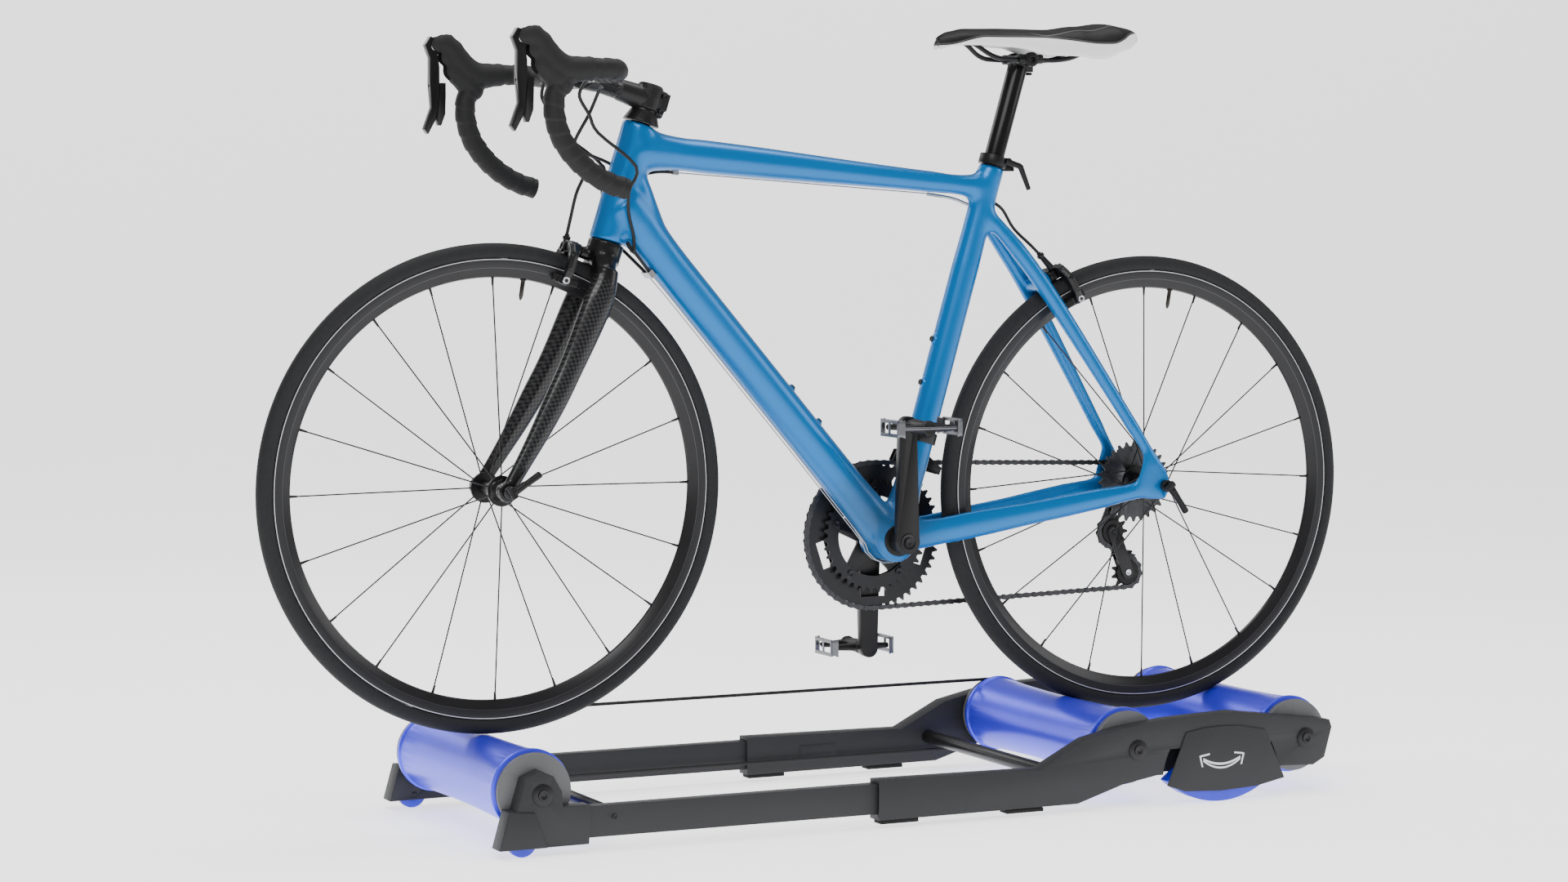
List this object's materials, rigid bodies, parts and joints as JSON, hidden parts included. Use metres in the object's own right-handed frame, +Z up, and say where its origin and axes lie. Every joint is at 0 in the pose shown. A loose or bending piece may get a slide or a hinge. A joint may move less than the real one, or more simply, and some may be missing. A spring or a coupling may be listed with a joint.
{
  "type": "road bicycle on training rollers",
  "caption": "Drop-bar road bicycle with rim brakes and derailleur gears, standing on a telescoping, rocking set of drum rollers for riding in place.",
  "frame": {"origin": "on the floor, midway between the two wheel axles, on the bicycle's centre plane", "axes": "+Z up, -X is the way the bicycle faces, +Y is its drive side"},
  "size_m": [1.688, 0.4636, 1.1106],
  "materials": {
    "roller_frame": "fine-grain dark grey moulded plastic",
    "roller_cover": "smooth dark plastic cover",
    "zinc_steel": "bright zinc-plated steel",
    "pad_rubber": "soft black rubber",
    "blue_wheel": "blue urethane rubber",
    "drum_blue": "satin royal blue",
    "belt": "round black rubber belt",
    "frame_paint": "gloss azure blue paint",
    "black_alloy": "black anodised, satin",
    "carbon": "carbon weave under satin lacquer",
    "cable": "bare steel inner cable",
    "housing": "black cable housing",
    "bar_tape": "black grained bar tape",
    "hood_rubber": "textured black rubber",
    "lever": "black anodised lever",
    "saddle": "black synthetic leather",
    "tyre": "black tread rubber",
    "rim": "black anodised rim",
    "hub": "black anodised hub and black spokes",
    "cassette": "dark steel sprockets",
    "crank": "matte black crank",
    "chainring": "black anodised rings",
    "pedal": "steel cage on black body",
    "brake": "dark painted brake arm",
    "mech": "dark painted gear changer",
    "jockey": "black nylon pulley",
    "chain": "dark oiled steel"
  },
  "bodies": {
    "roller_base": {"side_frames": "roller_frame", "base_rods": "zinc_steel", "rocker_covers": "roller_cover", "grip_pads": "pad_rubber", "drive_belt": "belt"},
    "roller_nose": {"nose_frames": "roller_frame", "nose_rods": "zinc_steel", "nose_covers": "roller_cover"},
    "foot_wheel_left": {"foot_wheel_left": "blue_wheel"},
    "foot_wheel_right": {"foot_wheel_right": "blue_wheel"},
    "rocker_wheel_left": {"rocker_wheel_left": "blue_wheel"},
    "rocker_wheel_right": {"rocker_wheel_right": "blue_wheel"},
    "front_drum": {"front_drum": "drum_blue"},
    "middle_drum": {"middle_drum": "drum_blue"},
    "rear_drum": {"rear_drum": "drum_blue"},
    "bike_frame": {"front_triangle": "frame_paint", "rear_triangle": "frame_paint", "seat_clamp": "black_alloy", "frame_cables": "cable", "rear_axle": "zinc_steel", "steering_housings": "housing", "front_derailleur": "mech", "chain": "chain"},
    "rear_qr_lever": {"rear_qr_lever": "black_alloy"},
    "front_qr_lever": {"front_qr_lever": "black_alloy"},
    "seatpost": {"seatpost": "black_alloy"},
    "saddle": {"saddle": "saddle"},
    "steering": {"fork": "carbon", "headset": "black_alloy", "stem": "black_alloy", "handlebar": "black_alloy", "bar_tape": "bar_tape", "brake_hoods": "hood_rubber", "front_brake_cable": "housing", "front_axle": "zinc_steel"},
    "brake_lever_left": {"brake_lever_left": "lever"},
    "brake_lever_right": {"brake_lever_right": "lever"},
    "shift_paddle_left": {"shift_paddle_left": "lever"},
    "shift_paddle_right": {"shift_paddle_right": "lever"},
    "front_wheel": {"front_tyre": "tyre", "front_rim": "rim", "front_hub": "hub"},
    "rear_wheel": {"rear_tyre": "tyre", "rear_rim": "rim", "rear_hub": "hub", "cassette": "cassette"},
    "cranks": {"crank_left": "crank", "crank_right": "crank", "chainrings": "chainring"},
    "pedal_left": {"pedal_left": "pedal"},
    "pedal_right": {"pedal_right": "pedal"},
    "front_brake_arm_left": {"front_brake_arm_left": "brake"},
    "front_brake_arm_right": {"front_brake_arm_right": "brake"},
    "rear_brake_arm_left": {"rear_brake_arm_left": "brake"},
    "rear_brake_arm_right": {"rear_brake_arm_right": "brake"},
    "front_derailleur_cage": {"front_derailleur_cage": "mech"},
    "rear_derailleur": {"rear_derailleur": "mech"},
    "derailleur_cage": {"derailleur_cage": "mech"},
    "guide_pulley": {"guide_pulley": "jockey"},
    "tension_pulley": {"tension_pulley": "jockey"}
  },
  "joints": [
    {"name": "nose_slide", "type": "slide", "parent": "roller_base", "child": "roller_nose", "axis": [1, 0, 0], "range_m": [-0.06, 0.15], "deforming": ["drive_belt"]},
    {"name": "foot_wheel_left_spin", "type": "hinge", "parent": "roller_nose", "child": "foot_wheel_left", "pos_m": [-0.555, -0.2145, 0.02], "axis": [0, -1, 0], "continuous": true},
    {"name": "rocker_wheel_left_rock", "type": "hinge", "parent": "roller_base", "child": "rocker_wheel_left", "pos_m": [0.507, -0.216, 0.034], "axis": [0, -1, 0], "range_deg": [-12, 12]},
    {"name": "foot_wheel_right_spin", "type": "hinge", "parent": "roller_nose", "child": "foot_wheel_right", "pos_m": [-0.555, 0.2145, 0.02], "axis": [0, -1, 0], "continuous": true},
    {"name": "rocker_wheel_right_rock", "type": "hinge", "parent": "roller_base", "child": "rocker_wheel_right", "pos_m": [0.507, 0.216, 0.034], "axis": [0, -1, 0], "range_deg": [-12, 12]},
    {"name": "front_drum_spin", "type": "hinge", "parent": "roller_nose", "child": "front_drum", "pos_m": [-0.53, 0, 0.082], "axis": [0, -1, 0], "continuous": true},
    {"name": "middle_drum_spin", "type": "hinge", "parent": "roller_base", "child": "middle_drum", "pos_m": [0.37, 0, 0.082], "axis": [0, -1, 0], "continuous": true},
    {"name": "rear_drum_spin", "type": "hinge", "parent": "roller_base", "child": "rear_drum", "pos_m": [0.65, 0, 0.082], "axis": [0, -1, 0], "continuous": true},
    {"name": "bike_lift", "type": "slide", "parent": "roller_base", "child": "bike_frame", "axis": [0, 0, 1], "range_m": [0, 0.25]},
    {"name": "steering", "type": "hinge", "parent": "bike_frame", "child": "steering", "pos_m": [-0.34277, 0, 0.7993], "axis": [0.3007, 0, 0.9537], "range_deg": [-50, 50], "deforming": ["steering_housings"]},
    {"name": "front_wheel_spin", "type": "hinge", "parent": "steering", "child": "front_wheel", "pos_m": [-0.51, 0, 0.46512], "axis": [0, -1, 0], "continuous": true},
    {"name": "rear_wheel_spin", "type": "hinge", "parent": "bike_frame", "child": "rear_wheel", "pos_m": [0.51, 0, 0.43882], "axis": [0, -1, 0], "continuous": true, "deforming": ["chain"]},
    {"name": "crank_spin", "type": "hinge", "parent": "bike_frame", "child": "cranks", "pos_m": [0.089, 0, 0.37382], "axis": [0, -1, 0], "continuous": true},
    {"name": "pedal_left_spin", "type": "hinge", "parent": "cranks", "child": "pedal_left", "pos_m": [0.089, -0.104, 0.53882], "axis": [0, -1, 0], "continuous": true},
    {"name": "pedal_right_spin", "type": "hinge", "parent": "cranks", "child": "pedal_right", "pos_m": [0.089, 0.104, 0.20882], "axis": [0, -1, 0], "continuous": true},
    {"name": "brake_lever_left_pull", "type": "hinge", "parent": "steering", "child": "brake_lever_left", "pos_m": [-0.53134, -0.167, 1.06794], "axis": [0, -1, 0], "range_deg": [0, 8], "stiffness_Nm_per_rad": 3},
    {"name": "shift_paddle_left_push", "type": "hinge", "parent": "brake_lever_left", "child": "shift_paddle_left", "pos_m": [-0.52633, -0.167, 1.01394], "axis": [1, 0, 0], "range_deg": [0, 12], "stiffness_Nm_per_rad": 0.4},
    {"name": "brake_lever_right_pull", "type": "hinge", "parent": "steering", "child": "brake_lever_right", "pos_m": [-0.53134, 0.167, 1.06794], "axis": [0, -1, 0], "range_deg": [0, 8], "stiffness_Nm_per_rad": 3},
    {"name": "shift_paddle_right_push", "type": "hinge", "parent": "brake_lever_right", "child": "shift_paddle_right", "pos_m": [-0.52633, 0.167, 1.01394], "axis": [-1, 0, 0], "range_deg": [0, 12], "stiffness_Nm_per_rad": 0.4},
    {"name": "front_brake_left_close", "type": "hinge", "parent": "steering", "child": "front_brake_arm_left", "pos_m": [-0.39394, 0, 0.78997], "axis": [0.9537, 0, -0.3007], "range_deg": [0, 2.6]},
    {"name": "front_brake_right_close", "type": "hinge", "parent": "steering", "child": "front_brake_arm_right", "pos_m": [-0.39394, 0, 0.78997], "axis": [-0.9537, 0, 0.3007], "range_deg": [0, 2.6]},
    {"name": "rear_brake_left_close", "type": "hinge", "parent": "bike_frame", "child": "rear_brake_arm_left", "pos_m": [0.35843, 0, 0.74854], "axis": [0.8581, 0, 0.5135], "range_deg": [0, 2.6]},
    {"name": "rear_brake_right_close", "type": "hinge", "parent": "bike_frame", "child": "rear_brake_arm_right", "pos_m": [0.35843, 0, 0.74854], "axis": [-0.8581, 0, -0.5135], "range_deg": [0, 2.6]},
    {"name": "front_derailleur_shift", "type": "hinge", "parent": "bike_frame", "child": "front_derailleur_cage", "pos_m": [0.14235, 0.036, 0.51772], "axis": [-1, 0, 0], "range_deg": [0, 13], "deforming": ["chain"]},
    {"name": "rear_derailleur_swing", "type": "hinge", "parent": "bike_frame", "child": "rear_derailleur", "pos_m": [0.511, 0.066, 0.41182], "axis": [0, -1, 0], "range_deg": [0, 20], "stiffness_Nm_per_rad": 2, "deforming": ["chain"]},
    {"name": "derailleur_cage_swing", "type": "hinge", "parent": "rear_derailleur", "child": "derailleur_cage", "pos_m": [0.4874, 0.048, 0.36332], "axis": [0, -1, 0], "range_deg": [-35, 20], "stiffness_Nm_per_rad": 1.5, "deforming": ["chain"]},
    {"name": "guide_pulley_spin", "type": "hinge", "parent": "rear_derailleur", "child": "guide_pulley", "pos_m": [0.4874, 0.048, 0.36332], "axis": [0, -1, 0], "continuous": true},
    {"name": "tension_pulley_spin", "type": "hinge", "parent": "derailleur_cage", "child": "tension_pulley", "pos_m": [0.5124, 0.048, 0.30182], "axis": [0, -1, 0], "continuous": true},
    {"name": "front_qr_open", "type": "hinge", "parent": "steering", "child": "front_qr_lever", "pos_m": [-0.51, -0.0734, 0.46512], "axis": [0.5299, 0, -0.848], "range_deg": [0, 100]},
    {"name": "rear_qr_open", "type": "hinge", "parent": "bike_frame", "child": "rear_qr_lever", "pos_m": [0.51, -0.0794, 0.43882], "axis": [-0.8192, 0, -0.5736], "range_deg": [0, 100]},
    {"name": "seatpost_slide", "type": "slide", "parent": "bike_frame", "child": "seatpost", "axis": [0.2823, 0, 0.9593], "range_m": [-0.06, 0.05]},
    {"name": "saddle_slide", "type": "slide", "parent": "seatpost", "child": "saddle", "axis": [1, 0, 0], "range_m": [-0.018, 0.018]}
  ],
  "couplings": [
    {"joint": "crank_spin", "follows": "rear_wheel_spin", "ratio": 0.25},
    {"joint": "front_wheel_spin", "follows": "rear_wheel_spin", "ratio": 1},
    {"joint": "front_drum_spin", "follows": "rear_wheel_spin", "ratio": -6.8163},
    {"joint": "middle_drum_spin", "follows": "rear_wheel_spin", "ratio": -6.8163},
    {"joint": "rear_drum_spin", "follows": "rear_wheel_spin", "ratio": -6.8163},
    {"joint": "guide_pulley_spin", "follows": "rear_wheel_spin", "ratio": -1.1818},
    {"joint": "tension_pulley_spin", "follows": "rear_wheel_spin", "ratio": 1.1818},
    {"joint": "front_brake_left_close", "follows": "brake_lever_left_pull", "ratio": 0.325},
    {"joint": "rear_brake_left_close", "follows": "brake_lever_right_pull", "ratio": 0.325},
    {"joint": "front_brake_right_close", "follows": "brake_lever_left_pull", "ratio": 0.325},
    {"joint": "rear_brake_right_close", "follows": "brake_lever_right_pull", "ratio": 0.325}
  ]
}
